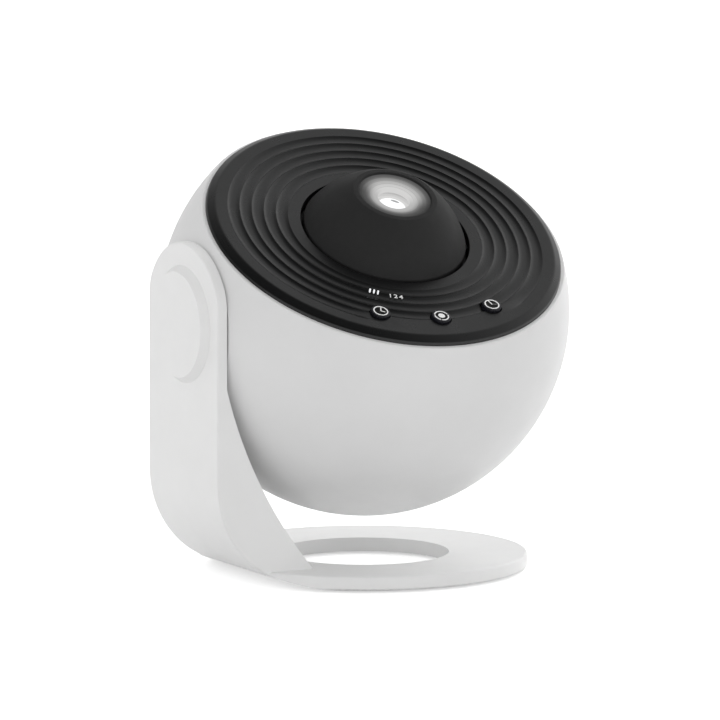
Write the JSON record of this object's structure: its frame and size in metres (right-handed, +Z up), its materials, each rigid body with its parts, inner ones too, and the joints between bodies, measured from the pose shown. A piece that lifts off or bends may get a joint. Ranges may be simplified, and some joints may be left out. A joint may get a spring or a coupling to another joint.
{
  "type": "planetarium projector",
  "caption": "Star projector: ball with a grooved face, a focusing lens hood and round keys, on a friction pivot at the top of a one-armed ring stand.",
  "frame": {"origin": "centre of the object's footprint, on the surface that its rubber ring pad rests on", "axes": "+Z up, +X along the pivot axis from the arm towards the ball's free side, -Y towards the keys"},
  "size_m": [0.1414, 0.1399, 0.1455],
  "materials": {
    "stand_white": "satin",
    "ball_white": "satin",
    "panel_black": "satin",
    "hood_black": "satin",
    "key_black": "satin",
    "light_guide": "gloss",
    "lens_glass": "polished",
    "film": "gloss",
    "black_inner": "matte",
    "white_inner": "matte",
    "rubber": "matte",
    "steel": "satin",
    "brass": "satin",
    "heat_sink_metal": "satin",
    "board": "satin",
    "chip": "matte",
    "led_white": "gloss",
    "wire_sleeve": "satin"
  },
  "bodies": {
    "stand": {"stand_frame": "stand_white", "arm_inner_cover": "stand_white", "cover_screws": "steel", "base_pad": "rubber", "pivot_cap": "stand_white", "pivot_bush": "white_inner", "friction_washer": "white_inner"},
    "ball": {"ball_shell": "ball_white", "face_panel": "panel_black", "pivot_bolt": "steel", "spring_washer": "steel", "pivot_plate": "steel", "pivot_screws": "steel", "pivot_nut": "steel", "usb_socket": "steel", "usb_tongue": "chip", "usb_board": "board", "usb_screws": "steel", "indicator_bars": "light_guide", "indicator_leds": "led_white", "control_board": "board", "board_screws": "steel", "key_switches": "chip", "board_chips": "chip", "board_connectors": "white_inner", "chassis_plate": "black_inner", "chassis_screws": "steel", "engine_housing": "black_inner", "engine_screws": "steel", "heatsink_screws": "steel", "condenser_lens": "lens_glass", "condenser_ring": "steel", "led_board": "board", "led_chip": "led_white", "heat_sink": "heat_sink_metal", "carrier_retainer": "white_inner", "disc_motor": "steel", "motor_screws": "steel", "led_wires": "wire_sleeve", "motor_wires": "wire_sleeve", "usb_wires": "wire_sleeve"},
    "film_drive": {"film_carrier": "white_inner", "film_disc": "film", "film_clip": "black_inner"},
    "pinion": {"drive_pinion": "white_inner", "motor_shaft": "steel"},
    "lens_head": {"focus_guide": "black_inner", "seal_ring": "rubber"},
    "focus_ring": {"lens_hood": "hood_black"},
    "lens_carriage": {"lens_barrel": "black_inner", "guide_pins": "brass", "front_lens": "lens_glass", "rear_lens": "lens_glass", "lens_retainer": "black_inner"},
    "timer_button": {"timer_key": "key_black"},
    "light_button": {"light_key": "key_black"},
    "power_button": {"power_key": "key_black"}
  },
  "joints": [
    {"name": "ball_tilt", "type": "hinge", "parent": "stand", "child": "ball", "pos_m": [0.00075, 0, 0.0884], "axis": [1, 0, 0], "continuous": true},
    {"name": "head_lift", "type": "slide", "parent": "ball", "child": "lens_head", "axis": [0, -0.4772, 0.8788], "range_m": [0, 0.03]},
    {"name": "focus_turn", "type": "hinge", "parent": "lens_head", "child": "focus_ring", "pos_m": [0.00075, 0, 0.0884], "axis": [0, -0.4772, 0.8788], "range_deg": [-60, 60]},
    {"name": "focus_slide", "type": "slide", "parent": "lens_head", "child": "lens_carriage", "axis": [0, -0.4772, 0.8788], "range_m": [-0.002, 0.002]},
    {"name": "disc_spin", "type": "hinge", "parent": "ball", "child": "film_drive", "pos_m": [0.00075, 0, 0.0884], "axis": [0, -0.4772, 0.8788], "continuous": true},
    {"name": "pinion_spin", "type": "hinge", "parent": "ball", "child": "pinion", "pos_m": [0.00075, 0.02307, 0.10093], "axis": [0, -0.4772, 0.8788], "continuous": true},
    {"name": "timer_press", "type": "slide", "parent": "ball", "child": "timer_button", "axis": [0, 0.4772, -0.8788], "range_m": [0, 0.0006], "stiffness_N_per_m": 800, "springref_m": -0.0003},
    {"name": "light_press", "type": "slide", "parent": "ball", "child": "light_button", "axis": [0, 0.4772, -0.8788], "range_m": [0, 0.0006], "stiffness_N_per_m": 800, "springref_m": -0.0003},
    {"name": "power_press", "type": "slide", "parent": "ball", "child": "power_button", "axis": [0, 0.4772, -0.8788], "range_m": [0, 0.0006], "stiffness_N_per_m": 800, "springref_m": -0.0003}
  ],
  "couplings": [
    {"joint": "focus_slide", "follows": "focus_turn", "m_per_rad": 0.00191},
    {"joint": "pinion_spin", "follows": "disc_spin", "ratio": -4}
  ]
}
